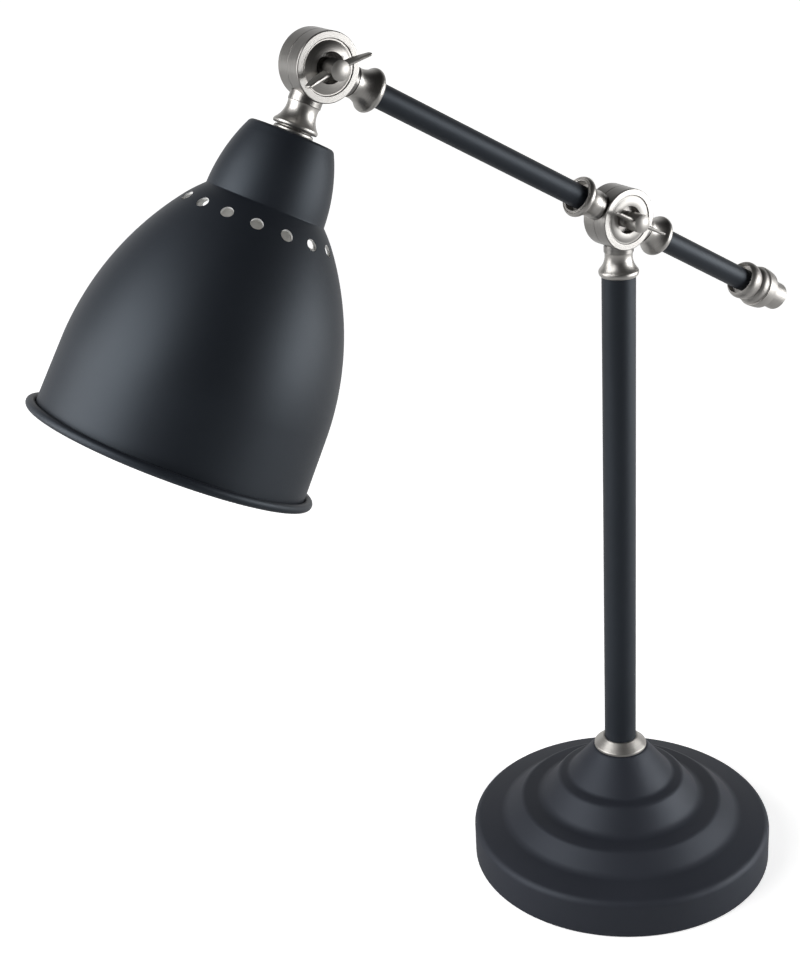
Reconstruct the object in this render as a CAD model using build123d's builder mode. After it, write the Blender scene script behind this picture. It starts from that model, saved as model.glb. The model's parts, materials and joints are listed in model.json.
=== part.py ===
from build123d import *
import os
from math import atan2, cos, radians, sin, sqrt, tan

# Desk lamp with a weighted round base, a stem, a tilting arm and a tilting bell shade.
# Millimetres, +Z up. Origin at the centre of the underside, on the desk.
# The arm swings in the XZ plane: the shade hangs towards -X and the tail points towards +X.
# Both hinge axes lie along Y, with the wing screws on the -Y side.

# Fits
fit_clear = 0.05
running_clear = 0.06
rim_clear = 0.4
seam_clear = 0.05

# Base shell, from the wall inwards: valley and shoulder of each pressed step, then the top land
base_r = 87.0
base_edge_h = 22.4
base_lift = 0.6
base_sheet = 1.5
valley_1_r = 68.5
valley_1_h = 26.4
shoulder_1_r = 58.0
shoulder_1_h = 36.9
valley_2_r = 46.4
valley_2_h = 37.7
shoulder_2_r = 36.2
shoulder_2_h = 51.5
valley_3_r = 30.4
valley_3_h = 52.7
land_r = 15.6
land_h = 71.5
edge_round = 4.5
step_round = 4.4
land_round = 2.0

# Pad, cover, weight and cover screws inside the base
pad_t = 1.5
pad_margin = 2.5
cover_t = 1.6
weight_margin = 7.0
weight_crown_w = 1.5
weight_t = 9.5
boss_r = 5.0
cover_screw_count = 3
cover_screw_phase = 60.0
cover_screw_circle_r = 60.0
cover_screw_r = 2.0
cover_screw_head_r = 3.6
cover_screw_grip = 9.0

# Threaded rod that clamps the base to the stem, with its nut and washer
rod_r = 5.0
rod_bore_r = 3.2
rod_tail = 6.0
rod_nut_t = 4.0
rod_nut_flats = 15.0
rod_washer_r = 12.0
rod_washer_t = 1.2

# Cord inlet in the wall of the base
inlet_lift = 0.8
inlet_bore_r = 3.2
inlet_barrel_r = 5.0
inlet_flange_r = 6.5
inlet_flange_t = 1.6

# Stem and its foot ring
stem_r = 9.0
stem_wall = 1.2
stem_seat = 1.7
plug_len = 14.5
foot_r = 15.0
foot_edge_h = 1.6
foot_h = 6.2
foot_floor = 2.0
foot_lip = 0.9
foot_round = 0.5

# Hinge centres and the angles of the resting pose, in degrees
mid_hinge_h = 388.5
arm_reach = 197.5
arm_slope = 31.0
shade_tilt = 29.5

# Knuckles, each a pair of clamped halves
knuckle_r = 16.0
knuckle_w = 17.5
knuckle_edge = 0.5
friction_ring_t = 0.6
friction_ring_w = 4.6
friction_ring_margin = 0.4
chamber_margin = 0.4
chamber_depth = 2.5
post_r = 7.8
arm_post_r = 7.2
post_root = 6.0
post_len = 2.5
cup_r = 12.6
cup_depth = 4.0
cup_hole_r = 7.2
cup_rim = 0.7
cup_set_back = 0.4
cup_bow = 0.25
mid_cup_rise = 0.3
head_cup_rise = 2.0

# Collars, measured along each post from its end
collar_foot_r = 7.5
collar_waist_r = 7.27
collar_waist = 2.0
collar_flare_r = 10.3
collar_flare = 9.5
collar_lip_r = 10.6
collar_lip = 10.7
collar_end_r = 9.7
collar_len = 12.7
collar_cup_r = 7.8
collar_cup_depth = 4.7
neck_end_r = 10.3
neck_len = 11.4

# Arm tubes
arm_r = 6.0
arm_wall = 1.0
spigot_len = 24.0
wire_bore_r = 2.2
tail_at = 98.5

# Tail finial, measured along the arm from its open end
finial_cup_r = 8.4
finial_cup_depth = 4.0
finial_flange_r = 10.3
finial_flange = 3.4
finial_groove_r = 8.9
finial_groove = 8.4
finial_ring_r = 10.4
finial_ring = 11.2
finial_bulb_r = 11.2
finial_bulb = 13.6
finial_bulb_end_r = 10.6
finial_bulb_end = 20.0
finial_tip_r = 7.6
finial_len = 32.5
finial_tip_round = 1.2
finial_spigot = 10.0

# Wing screws, measured outwards from the front face of the knuckle
screw_r = 3.0
screw_grip = 7.2
knob_r = 4.7
knob_neck_r = 4.2
knob_proud = 11.7
knob_dome = 1.9
wing_span = 17.6
wing_t = 1.7
wing_root_low = 2.2
wing_root_high = 8.0
wing_belly = 2.8
wing_tip_low = 6.6
wing_tip_high = 11.0
wing_tip_round = 1.4
mid_wing_angle = -29.0
head_wing_angle = 16.5

# Shade, each length measured on from the one before
shade_sheet = 1.0
neck_ring_r = 9.4
neck_groove_r = 7.2
neck_groove_t = 1.3
neck_ring_t = 2.7
dome_top_r = 19.85
dome_bulge = 1.9
dome_len = 33.6
crease_r = 28.2
cone_len = 9.7
cone_r = 36.7
cone_bulge = 0.39
bell_len = 76.6
bell_r = 63.78
wall_len = 34.5
mouth_r = 64.8
dome_round = 2.2
bead_r = 2.2
bead_bite = 0.2
bead_lift = 1.1
vent_count = 16
vent_r = 2.9
vent_drop = 8.6
vent_phase = 8.75

# Lampholder for a large screw cap, on the stud under the shade top
stud_len = 30.5
locknut_t = 3.5
locknut_flats = 15.0
holder_neck_r = 8.5
holder_neck = 3.0
holder_floor = 3.0
holder_dome = 9.0
holder_r = 19.0
holder_skirt = 7.0
holder_wall = 2.0
holder_body_len = 26.0
holder_spigot = 6.0
insulator_t = 4.0
insulator_drop = 6.0
socket_r = 13.3
socket_sheet = 0.6
socket_len = 22.0
contact_r = 4.5
contact_pin_r = 1.5
contact_t = 0.4
contact_rise = 0.6
contact_gap = 2.0

# Directions and hinge centres
up = Vector(0, 0, 1)
down = Vector(0, 0, -1)
rear = Vector(1, 0, 0)
front = Vector(0, -1, 0)
arm_dir = Vector(cos(radians(arm_slope)), 0, -sin(radians(arm_slope)))
shade_dir = Vector(-sin(radians(shade_tilt)), 0, -cos(radians(shade_tilt)))
desk = Vector(0, 0, 0)
mid_hinge = Vector(0, 0, mid_hinge_h)
head_hinge = mid_hinge - arm_dir * arm_reach

# Shared fits and stations along the axes
rod_fit_r = rod_r + fit_clear
stem_fit_r = stem_r + fit_clear
arm_fit_r = arm_r + fit_clear
arm_bore_r = arm_r - arm_wall
spigot_r = arm_bore_r - fit_clear
inner_wall_r = base_r - base_sheet
half_w = knuckle_w / 2
seam_back = friction_ring_t / 2
seam_front = friction_ring_t / 2 + seam_clear
post_end = knuckle_r + post_len
collar_end = post_end + collar_len
neck_end = post_end + neck_len
stem_bottom = land_h + foot_floor
stem_top_at = collar_end - stem_seat
stem_top = mid_hinge_h - stem_top_at
shade_top = neck_end + neck_ring_t
crease_at = shade_top + dome_len
cone_at = crease_at + cone_len
bell_at = cone_at + bell_len
mouth_at = bell_at + wall_len

os.makedirs("parts", exist_ok=True)


def save(piece, name):
    piece.part.label = name
    export_step(piece.part, f"parts/{name}.step")


def turning_plane(origin, direction):
    """Sketch plane of a turned piece: local x is the radius, local y runs along its axis."""
    across = Vector(-direction.Z, 0, direction.X) if direction != front else rear
    return Plane(origin=origin, x_dir=across, z_dir=across.cross(direction))


def hinge_plane(centre, depth, side):
    """Sketch plane square to a hinge axis, facing outwards at a distance from the arm plane."""
    return Plane(origin=(centre.X, side * depth, centre.Z), x_dir=rear, z_dir=(0, side, 0))


def ring_corners(inner, outer, low, high):
    return [(inner, low), (outer, low), (outer, high), (inner, high)]


def turned(corners, origin, direction):
    """Solid of revolution from the corners of a closed straight outline."""
    with BuildPart() as piece:
        with BuildSketch(turning_plane(origin, direction)):
            with BuildLine():
                Polyline(*corners, close=True)
            make_face()
        revolve(axis=Axis(origin, direction))
    return piece


def hex_nut(origin, direction, flats, height):
    with BuildPart() as nut:
        with BuildSketch(Plane(origin=origin, z_dir=direction)):
            RegularPolygon(flats / 2, 6, major_radius=False)
            Circle(rod_fit_r, mode=Mode.SUBTRACT)
        extrude(amount=height)
    return nut


# Base shell, pressed from sheet in three rounded steps, with the cord hole in its wall
inlet_h = pad_t + cover_t + inlet_lift + inlet_flange_r
base_corners = [
    (base_r, base_lift),
    (base_r, base_edge_h),
    (valley_1_r, valley_1_h),
    (shoulder_1_r, shoulder_1_h),
    (valley_2_r, valley_2_h),
    (shoulder_2_r, shoulder_2_h),
    (valley_3_r, valley_3_h),
    (land_r, land_h),
    (rod_fit_r, land_h),
]
base_rounds = [edge_round] + [step_round] * 5 + [land_round]
with BuildPart() as base_shell:
    with BuildSketch(turning_plane(desk, up)):
        with BuildLine():
            FilletPolyline(*base_corners, radius=base_rounds)
            offset(amount=base_sheet, side=Side.LEFT)
        make_face()
    revolve(axis=Axis(desk, up))
    with BuildSketch(Plane(origin=(base_r + base_sheet, 0, inlet_h), z_dir=rear)):
        Circle(inlet_barrel_r + fit_clear)
    extrude(amount=-4 * base_sheet, mode=Mode.SUBTRACT)
save(base_shell, "base_shell")

# Foot pad and cover plate that close the base from below
cover_top = pad_t + cover_t
cover_ring = PolarLocations(cover_screw_circle_r, cover_screw_count, start_angle=cover_screw_phase)
cover_spots = cover_ring.local_locations
save(turned(ring_corners(0, base_r - pad_margin, 0, pad_t), desk, up), "base_pad")

with BuildPart() as base_cover:
    with BuildSketch(Plane.XY.offset(pad_t)):
        Circle(inner_wall_r - fit_clear)
        with Locations(*cover_spots):
            Circle(cover_screw_r + fit_clear, mode=Mode.SUBTRACT)
    extrude(amount=cover_t)
    with BuildSketch(Plane.XY.offset(pad_t)):
        with Locations(*cover_spots):
            Circle(cover_screw_head_r + fit_clear)
    extrude(amount=cover_screw_head_r - cover_screw_r, taper=45, mode=Mode.SUBTRACT)
save(base_cover, "base_cover")

# Cast weight under the shelf of the shell, with bosses for the cover screws
shelf_rise = (valley_1_h - base_edge_h) / (base_r - valley_1_r)
shelf_drop = base_sheet * sqrt(1 + shelf_rise**2) + fit_clear
weight_r = base_r - weight_margin
weight_crown_r = weight_r - weight_crown_w
weight_edge_top = base_edge_h + shelf_rise * weight_margin - shelf_drop
weight_crown_top = base_edge_h + shelf_rise * (base_r - weight_crown_r) - shelf_drop
weight_low = weight_edge_top - weight_t
weight_corners = [
    (rod_fit_r, weight_low),
    (weight_r, weight_low),
    (weight_r, weight_edge_top),
    (weight_crown_r, weight_crown_top),
    (rod_fit_r, weight_crown_top),
]
with BuildPart() as base_weight:
    with BuildSketch(turning_plane(desk, up)):
        with BuildLine():
            Polyline(*weight_corners, close=True)
        make_face()
    revolve(axis=Axis(desk, up))
    with BuildSketch(Plane.XY.offset(cover_top)):
        with Locations(*cover_spots):
            Circle(boss_r)
    extrude(amount=weight_edge_top - cover_top)
    with BuildSketch(Plane.XY.offset(cover_top)):
        with Locations(*cover_spots):
            Circle(cover_screw_r + fit_clear)
    extrude(amount=cover_screw_grip + 2 * fit_clear, mode=Mode.SUBTRACT)
save(base_weight, "base_weight")

with BuildPart() as cover_screws:
    with BuildSketch(Plane.XY.offset(pad_t)):
        with Locations(*cover_spots):
            Circle(cover_screw_head_r)
    extrude(amount=cover_screw_head_r - cover_screw_r, taper=45)
    with BuildSketch(Plane.XY.offset(pad_t)):
        with Locations(*cover_spots):
            Circle(cover_screw_r)
    extrude(amount=cover_t + cover_screw_grip)
save(cover_screws, "cover_screws")

# Threaded rod from the weight up into the stem, with its washer and nut
washer_low = weight_low - rod_washer_t
rod_high = stem_bottom + plug_len
save(turned(ring_corners(rod_bore_r, rod_r, weight_low - rod_tail, rod_high), desk, up), "base_rod")
save(turned(ring_corners(rod_fit_r, rod_washer_r, washer_low, weight_low), desk, up), "rod_washer")
save(hex_nut(up * (washer_low - rod_nut_t), up, rod_nut_flats, rod_nut_t), "rod_nut")

# Bushing of the cord inlet, flanged on both sides of the wall
inlet_in = sqrt(inner_wall_r**2 - inlet_flange_r**2) - fit_clear
inlet_out = base_r + fit_clear
inlet_corners = [
    (inlet_bore_r, inlet_in - inlet_flange_t),
    (inlet_flange_r, inlet_in - inlet_flange_t),
    (inlet_flange_r, inlet_in),
    (inlet_barrel_r, inlet_in),
    (inlet_barrel_r, inlet_out),
    (inlet_flange_r, inlet_out),
    (inlet_flange_r, inlet_out + inlet_flange_t),
    (inlet_bore_r, inlet_out + inlet_flange_t),
]
save(turned(inlet_corners, up * inlet_h, rear), "cord_inlet")

# Foot ring that seats the stem on the base
foot_corners = [
    (rod_fit_r, land_h),
    (foot_r, land_h),
    (foot_r, land_h + foot_edge_h),
    (stem_fit_r + foot_lip, land_h + foot_h),
    (stem_fit_r, land_h + foot_h),
    (stem_fit_r, stem_bottom),
    (rod_fit_r, stem_bottom),
]
with BuildPart() as foot_ring:
    with BuildSketch(turning_plane(desk, up)):
        with BuildLine():
            Polyline(*foot_corners, close=True)
        make_face()
    revolve(axis=Axis(desk, up))
    fillet(foot_ring.edges().filter_by(GeomType.CIRCLE).group_by(SortBy.RADIUS)[-1], radius=foot_round)
save(foot_ring, "foot_ring")

# Stem tube and the threaded plugs in its ends
plug_r = stem_r - stem_wall - fit_clear
save(turned(ring_corners(stem_r - stem_wall, stem_r, stem_bottom, stem_top), desk, up), "stem")
save(turned(ring_corners(rod_fit_r, plug_r, stem_bottom, rod_high), desk, up), "stem_lower_plug")
save(turned(ring_corners(rod_fit_r, plug_r, stem_top - plug_len, stem_top), desk, up), "stem_upper_plug")


def collar(centre, direction, bore, cup, cup_depth, end_r, length):
    """Trumpet collar on a post, with a rolled lip and an open cup."""
    waist = (collar_waist_r, post_end + collar_waist)
    foot = (collar_foot_r, post_end)
    flare = (collar_flare_r, post_end + collar_flare)
    lip = (collar_lip_r, post_end + collar_lip)
    end_at = post_end + length
    cup_at = end_at - cup_depth
    with BuildPart() as piece:
        with BuildSketch(turning_plane(centre, direction)):
            with BuildLine():
                TangentArc(waist, foot, tangent=(0, -1))
                TangentArc(waist, flare, tangent=(0, 1))
                ThreePointArc(flare, lip, (end_r, end_at))
                Polyline((end_r, end_at), (cup, end_at), (cup, cup_at), (bore, cup_at), (bore, post_end),
                         foot)
            make_face()
        revolve(axis=Axis(centre, direction))
    return piece


def arm_collar(centre, direction):
    return collar(centre, direction, arm_fit_r, collar_cup_r, collar_cup_depth, collar_end_r, collar_len)


save(collar(mid_hinge, down, rod_fit_r, stem_fit_r, stem_seat, collar_end_r, collar_len), "stem_collar")
save(arm_collar(mid_hinge, -arm_dir), "arm_front_collar")
save(arm_collar(mid_hinge, arm_dir), "arm_rear_collar")
save(arm_collar(head_hinge, arm_dir), "arm_head_collar")
neck_cup_depth = collar_cup_depth - collar_len + neck_len
save(collar(head_hinge, shade_dir, rod_fit_r, neck_groove_r - cup_rim, neck_cup_depth, neck_end_r, neck_len),
     "neck_collar")


def knuckle_half(centre, side, seam, posts, cuts):
    """Half of a clamped knuckle: a disc whose posts reach across the seam.

    Each post is (direction, radius, pin radius, pin length). Each cut is (radius, start, end),
    measured from the arm plane out to the face.
    """
    with BuildPart() as half:
        with BuildSketch(hinge_plane(centre, seam, side)):
            Circle(knuckle_r)
        extrude(amount=half_w - seam)
        face = half.faces().filter_by(Axis.Y).sort_by(Axis.Y)[0 if side < 0 else -1]
        fillet(face.edges(), radius=knuckle_edge)
        for direction, radius, pin_r, pin_len in posts:
            with BuildSketch(Plane(origin=centre + direction * post_root, z_dir=direction)):
                Circle(radius)
            extrude(amount=post_end - post_root)
            with BuildSketch(Plane(origin=centre + direction * post_end, z_dir=direction)):
                Circle(pin_r)
            extrude(amount=pin_len)
        with BuildSketch(hinge_plane(centre, seam, side)):
            Circle(knuckle_r + rim_clear)
        extrude(amount=-2 * post_r, mode=Mode.SUBTRACT)
        for direction, radius, pin_r, pin_len in posts:
            with BuildSketch(Plane(origin=centre + direction * post_root, z_dir=direction)):
                Circle(wire_bore_r)
            extrude(amount=post_end - post_root + pin_len, mode=Mode.SUBTRACT)
        for radius, start, end in cuts:
            with BuildSketch(hinge_plane(centre, start, side)):
                Circle(radius)
            extrude(amount=end - start, mode=Mode.SUBTRACT)
    return half


ring_out_r = knuckle_r - friction_ring_margin
ring_in_r = ring_out_r - friction_ring_w
chamber = (ring_in_r - chamber_margin, 0, chamber_depth)
cup_floor = half_w - cup_depth
front_cuts = [chamber, (screw_r + rim_clear, 0, half_w), (cup_r + fit_clear, cup_floor, half_w)]
back_cuts = [chamber, (screw_r + running_clear, 0, screw_grip + rim_clear)]
stem_post = (down, post_r, rod_r, stem_top_at - post_end + plug_len)
neck_post = (shade_dir, post_r, rod_r, stud_len)
front_arm_post = (-arm_dir, arm_post_r, spigot_r, spigot_len)
rear_arm_post = (arm_dir, arm_post_r, spigot_r, spigot_len)
save(knuckle_half(mid_hinge, -1, seam_front, [stem_post], front_cuts), "mid_knuckle_front")
save(knuckle_half(mid_hinge, 1, seam_back, [front_arm_post, rear_arm_post], back_cuts), "mid_knuckle_back")
save(knuckle_half(head_hinge, -1, seam_front, [neck_post], front_cuts), "head_knuckle_front")
save(knuckle_half(head_hinge, 1, seam_back, [rear_arm_post], back_cuts), "head_knuckle_back")


def friction_ring(centre):
    return turned(ring_corners(ring_in_r, ring_out_r, -seam_back, seam_back), centre, front)


def cup_washer(centre, rise):
    """Crowned washer set into the front of a knuckle, highest at its hole."""
    face = half_w - cup_set_back
    brow = (cup_r - cup_rim, face)
    sill = (cup_hole_r, face + rise)
    middle = ((brow[0] + sill[0]) / 2, face + rise / 2 + cup_bow)
    with BuildPart() as washer:
        with BuildSketch(turning_plane(centre, front)):
            with BuildLine():
                ThreePointArc(brow, middle, sill)
                Polyline(sill, (cup_hole_r, cup_floor), (cup_r, cup_floor), (cup_r, face), brow)
            make_face()
        revolve(axis=Axis(centre, front))
    return washer


def wing_screw(centre, angle):
    """Thumb screw through the front half into the back half, with two leaf-shaped wings."""
    across = Vector(cos(radians(angle)), 0, sin(radians(angle)))
    seat = cup_floor + seam_clear
    crown = half_w + knob_proud
    brow = crown - knob_dome
    root_at = knob_neck_r / 2
    tip_at = wing_span - wing_tip_round
    tip = (wing_span, (wing_tip_low + wing_tip_high) / 2)
    with BuildPart() as screw:
        with BuildSketch(turning_plane(centre, front)):
            with BuildLine():
                Polyline((0, crown), (0, -screw_grip), (screw_r, -screw_grip), (screw_r, seat),
                         (knob_neck_r, seat), (knob_neck_r, half_w), (knob_r, half_w + wing_root_low),
                         (knob_r, brow))
                TangentArc((0, crown), (knob_r, brow), tangent=(1, 0))
            make_face()
        revolve(axis=Axis(centre, front))
        for reach in (across, -across):
            with BuildSketch(Plane(origin=centre + front * half_w, x_dir=reach, z_dir=reach.cross(front))):
                with BuildLine():
                    Polyline((root_at, wing_root_low), (root_at, wing_root_high), (tip_at, wing_tip_high))
                    ThreePointArc((tip_at, wing_tip_high), tip, (tip_at, wing_tip_low))
                    belly = (wing_span / 2, wing_belly)
                    ThreePointArc((tip_at, wing_tip_low), belly, (root_at, wing_root_low))
                make_face()
            extrude(amount=wing_t / 2, both=True)
    return screw


for name, centre, rise, wing_angle in (("mid", mid_hinge, mid_cup_rise, mid_wing_angle),
                                       ("head", head_hinge, head_cup_rise, head_wing_angle)):
    save(friction_ring(centre), f"{name}_friction_ring")
    save(cup_washer(centre, rise), f"{name}_cup_washer")
    save(wing_screw(centre, wing_angle), f"{name}_wing_screw")

# Arm tubes, measured from the middle hinge
rear_tube = ring_corners(arm_bore_r, arm_r, post_end, tail_at + finial_cup_depth)
front_tube = ring_corners(arm_bore_r, arm_r, post_end, arm_reach - post_end)
save(turned(rear_tube, mid_hinge, arm_dir), "arm_rear_tube")
save(turned(front_tube, mid_hinge, -arm_dir), "arm_front_tube")

# Tail finial with a cup round the end of the tube and a spigot inside it
tail_end = mid_hinge + arm_dir * tail_at
with BuildPart() as tail_finial:
    with BuildSketch(turning_plane(tail_end, arm_dir)):
        with BuildLine():
            flange = (finial_flange_r, finial_flange)
            groove = (finial_groove_r, finial_groove)
            ring = (finial_ring_r, finial_ring)
            bulb = (finial_bulb_r, finial_bulb)
            spigot_at = finial_cup_depth - finial_spigot
            Polyline((0, finial_len), (0, spigot_at), (spigot_r, spigot_at), (spigot_r, finial_cup_depth),
                     (finial_cup_r, finial_cup_depth), (finial_cup_r, 0))
            TangentArc(flange, (finial_cup_r, 0), tangent=(0, -1))
            TangentArc(flange, groove, tangent=(0, 1))
            TangentArc(ring, groove, tangent=(0, -1))
            Polyline(ring, (finial_ring_r, finial_bulb), bulb)
            TangentArc(bulb, (finial_bulb_end_r, finial_bulb_end), tangent=(0, 1))
            Polyline((finial_bulb_end_r, finial_bulb_end), (finial_tip_r, finial_bulb_end),
                     (finial_tip_r, finial_len), (0, finial_len))
        make_face()
    revolve(axis=Axis(tail_end, arm_dir))
    tip_edge = tail_finial.edges().filter_by(GeomType.CIRCLE).sort_by(Axis(tail_end, arm_dir))[-1]
    fillet(tip_edge, radius=finial_tip_round)
save(tail_finial, "tail_finial")

# Shade of spun sheet, with a rolled bead at the mouth and a ring of vents under the crease
cone_slope = atan2(cone_r - crease_r, cone_len)
vent_turn_r = crease_r + vent_drop * tan(cone_slope)
with BuildPart() as shade:
    with BuildSketch(turning_plane(head_hinge, shade_dir)):
        with BuildLine():
            top = Line((rod_fit_r, shade_top), (dome_top_r, shade_top))
            dome_middle = ((dome_top_r + crease_r) / 2 + dome_bulge, (shade_top + crease_at) / 2)
            dome = ThreePointArc(top @ 1, dome_middle, (crease_r, crease_at))
            fillet(vertices().sort_by_distance(top @ 1)[0], radius=dome_round)
            cone_middle = ((crease_r + cone_r) / 2 + cone_bulge, (crease_at + cone_at) / 2)
            cone = ThreePointArc(dome @ 1, cone_middle, (cone_r, cone_at))
            bell = TangentArc(cone @ 1, (bell_r, bell_at), tangent=cone % 1)
            Line(bell @ 1, (mouth_r, mouth_at))
            offset(amount=shade_sheet, side=Side.LEFT)
        make_face()
        with Locations((mouth_r + bead_r - bead_bite, mouth_at - bead_lift)):
            Circle(bead_r)
    revolve(axis=Axis(head_hinge, shade_dir))
    across = Vector(-shade_dir.Z, 0, shade_dir.X)
    for index in range(vent_count):
        out = across.rotate(Axis((0, 0, 0), shade_dir), vent_phase + index * 360 / vent_count)
        spot = head_hinge + shade_dir * (crease_at + vent_drop) + out * vent_turn_r
        with BuildSketch(Plane(origin=spot, z_dir=out * cos(cone_slope) - shade_dir * sin(cone_slope))):
            Circle(vent_r)
        extrude(amount=3 * shade_sheet, both=True, mode=Mode.SUBTRACT)
save(shade, "shade")

# Grooved ring between the neck collar and the shade, and the locknut inside
neck_groove_end = neck_end + neck_groove_t
neck_ring_corners = [
    (rod_fit_r, neck_end),
    (neck_groove_r, neck_end),
    (neck_groove_r, neck_groove_end),
    (neck_ring_r, neck_groove_end),
    (neck_ring_r, shade_top),
    (rod_fit_r, shade_top),
]
nut_at = shade_top + shade_sheet
save(turned(neck_ring_corners, head_hinge, shade_dir), "neck_ring")
save(hex_nut(head_hinge + shade_dir * nut_at, shade_dir, locknut_flats, locknut_t), "shade_locknut")

# Lampholder: domed cap on the stud, body, insulator, screw shell and centre contact
cap_at = nut_at + locknut_t
dome_at = cap_at + holder_neck
skirt_at = dome_at + holder_dome
body_at = skirt_at + holder_skirt
body_top = body_at - holder_spigot
body_end = body_at + holder_body_len
cap_in_r = holder_r - holder_wall
with BuildPart() as lampholder_cap:
    with BuildSketch(turning_plane(head_hinge, shade_dir)):
        with BuildLine():
            Polyline((holder_neck_r, dome_at), (holder_neck_r, cap_at), (rod_fit_r, cap_at),
                     (rod_fit_r, dome_at + holder_floor), (holder_neck_r, dome_at + holder_floor),
                     (cap_in_r, skirt_at), (cap_in_r, body_at), (holder_r, body_at), (holder_r, skirt_at))
            TangentArc((holder_r, skirt_at), (holder_neck_r, dome_at), tangent=(0, -1))
        make_face()
    revolve(axis=Axis(head_hinge, shade_dir))
save(lampholder_cap, "lampholder_cap")

socket_out_r = socket_r + socket_sheet
body_neck_r = cap_in_r - fit_clear
nest_r = body_neck_r - holder_wall
seat_at = body_top + insulator_drop
body_corners = [
    (nest_r, body_top),
    (body_neck_r, body_top),
    (body_neck_r, body_at),
    (holder_r, body_at),
    (holder_r, body_end),
    (socket_out_r + fit_clear, body_end),
    (socket_out_r + fit_clear, seat_at),
    (nest_r, seat_at),
]
insulator = ring_corners(contact_pin_r + fit_clear, nest_r - fit_clear, seat_at - insulator_t, seat_at)
shell_floor_r = contact_r + contact_gap
shell_corners = [
    (shell_floor_r, seat_at),
    (socket_out_r, seat_at),
    (socket_out_r, seat_at + socket_len),
    (socket_r, seat_at + socket_len),
    (socket_r, seat_at + socket_sheet),
    (shell_floor_r, seat_at + socket_sheet),
]
contact_corners = [
    (0, seat_at - insulator_t),
    (contact_pin_r, seat_at - insulator_t),
    (contact_pin_r, seat_at),
    (contact_r, seat_at),
    (contact_r, seat_at + contact_t),
    (contact_pin_r, seat_at + contact_rise),
    (0, seat_at + contact_rise),
]
save(turned(body_corners, head_hinge, shade_dir), "lampholder_body")
save(turned(insulator, head_hinge, shade_dir), "lampholder_insulator")
save(turned(shell_corners, head_hinge, shade_dir), "lampholder_shell")
save(turned(contact_corners, head_hinge, shade_dir), "lampholder_contact")
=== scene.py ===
import json
import math

import bmesh
import bpy
from mathutils import Matrix, Vector


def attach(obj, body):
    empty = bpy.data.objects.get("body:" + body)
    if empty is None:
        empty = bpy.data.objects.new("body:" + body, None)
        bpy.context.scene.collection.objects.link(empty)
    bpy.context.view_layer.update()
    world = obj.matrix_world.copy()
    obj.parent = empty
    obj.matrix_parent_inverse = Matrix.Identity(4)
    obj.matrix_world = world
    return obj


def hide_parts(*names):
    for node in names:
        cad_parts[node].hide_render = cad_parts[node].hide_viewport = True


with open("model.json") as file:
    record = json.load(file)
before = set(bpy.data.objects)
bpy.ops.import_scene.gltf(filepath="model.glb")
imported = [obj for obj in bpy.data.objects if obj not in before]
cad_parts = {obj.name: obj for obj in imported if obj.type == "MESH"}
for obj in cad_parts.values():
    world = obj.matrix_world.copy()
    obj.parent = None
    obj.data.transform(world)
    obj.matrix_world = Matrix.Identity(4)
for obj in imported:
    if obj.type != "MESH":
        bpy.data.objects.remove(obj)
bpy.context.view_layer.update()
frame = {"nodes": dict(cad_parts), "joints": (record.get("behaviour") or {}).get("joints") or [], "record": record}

scene = bpy.context.scene
nodes = frame["nodes"]

# Metres in a millimetre, points round a full turn, and the bend above which an edge stays sharp
MM = 0.001
STEPS = 128
SHARP = math.radians(34)

# Sizes in millimetres, in the same frame as the solids
knuckle_r, half_w, seam_front, seam_back, lip_r, lip_at = 16.0, 8.75, 0.35, 0.3, 15.7, 0.12
rim_clear, post_r, arm_post_r, post_end = 0.4, 7.8, 7.2, 18.5
cup_r, cup_fit_r, cup_hole_r, cup_lip, cup_floor, cup_face, cup_bow = 12.6, 12.65, 7.2, 0.7, 4.75, 8.35, 0.25
screw_r, screw_end, screw_hole_r, screw_bore_r, screw_bore_end = 3.0, -7.2, 3.4, 3.15, 7.4
screw_neck_r, screw_neck_end, knob_r, knob_start, knob_brow, knob_crown = 4.0, 1.0, 4.7, 2.2, 10.3, 11.7
arm_r, arm_bore_r, arm_fit_r, rod_fit_r = 6.0, 5.0, 6.05, 5.05
stem_r, stem_bore_r, stem_fit_r, stem_bottom, stem_top = 9.0, 7.8, 9.05, 73.5, 359.0
base_r, base_foot, base_sheet, land_r, land_h = 87.0, 0.6, 1.5, 15.6, 71.5
foot_r, foot_top_r, foot_edge, foot_h = 15.0, 9.95, 1.6, 6.2
collar_foot_r, waist_r, waist_at, flare_r, flare_at, roll_r, roll_at = 7.5, 7.27, 2.0, 10.3, 9.5, 10.6, 10.7
groove_out_r, groove_in_r, groove_slope, groove_depth = 9.4, 8.8, 0.15, 0.4
neck_r, neck_groove_r, neck_at, neck_groove_end = 9.4, 8.2, 29.9, 30.5
arm_reach, tail_at, tail_seat = 197.5, 98.5, 4.0
shade_top, shade_sheet = 32.6, 1.0
dome_top_r, dome_bulge, dome_round = 19.85, 1.9, 2.2
crease_r, crease_at, cone_r, cone_at, cone_bulge = 28.2, 66.2, 36.7, 75.9, 0.39
bell_r, bell_at, mouth_r, mouth_at = 63.78, 152.5, 64.8, 187.0
bead_r, bead_turn_r, bead_at = 2.2, 66.8, 185.9
vent_count, vent_r, vent_at, vent_phase = 16, 2.9, 74.8, 8.75

# Directions and hinge centres in the shared frame
hinge = {joint["name"]: Vector(joint["pos_m"]) for joint in frame["joints"]}
mid_hinge, head_hinge = hinge["arm_tilt"], hinge["head_tilt"]
desk = Vector((0, 0, 0))
up = Vector((0, 0, 1))
front = Vector((0, -1, 0))
rear = Vector((0, 1, 0))
arm_dir = (mid_hinge - head_hinge).normalized()
shade_tilt = math.radians(29.5)
shade_dir = Vector((-math.sin(shade_tilt), 0, -math.cos(shade_tilt)))


# Outlines, as lists of (radius, station) points

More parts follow.
